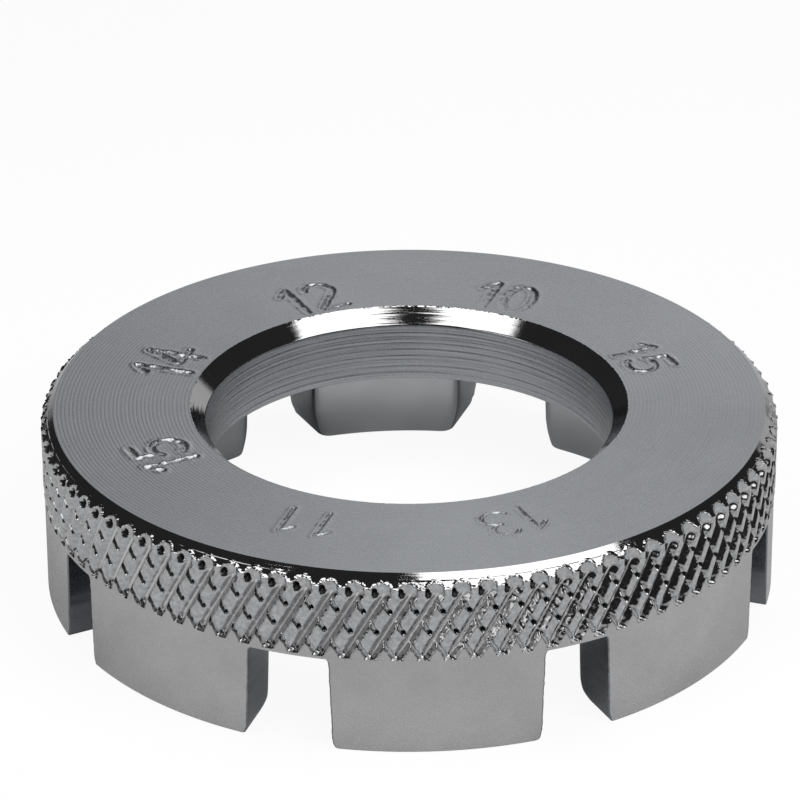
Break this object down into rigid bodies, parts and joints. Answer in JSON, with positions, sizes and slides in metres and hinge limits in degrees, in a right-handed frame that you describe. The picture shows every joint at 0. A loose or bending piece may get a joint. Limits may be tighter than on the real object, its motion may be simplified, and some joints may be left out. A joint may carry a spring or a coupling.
{
  "type": "spoke wrench",
  "caption": "Round spoke wrench: a chromed steel ring with a diamond-knurled grip and graded nipple slots cut across its skirt.",
  "frame": {"origin": "on the ring's axis, in the plane of the feet", "axes": "+Z along the hole's axis, up to the stamped top face; +X through the slot without a number; +Y through the slot marked 10"},
  "size_m": [0.053, 0.053, 0.0136],
  "materials": {
    "turned_chrome": "turned steel with satin chrome plating",
    "knurled_chrome": "diamond-knurled steel with bright chrome plating"
  },
  "bodies": {
    "root": {"ring_body": "turned_chrome", "knurled_band": "knurled_chrome", "jaw_plain_15": "turned_chrome", "jaw_15_10": "turned_chrome", "jaw_10_12": "turned_chrome", "jaw_12_14": "turned_chrome", "jaw_14_15": "turned_chrome", "jaw_15_11": "turned_chrome", "jaw_11_13": "turned_chrome", "jaw_13_plain": "turned_chrome"}
  },
  "joints": []
}
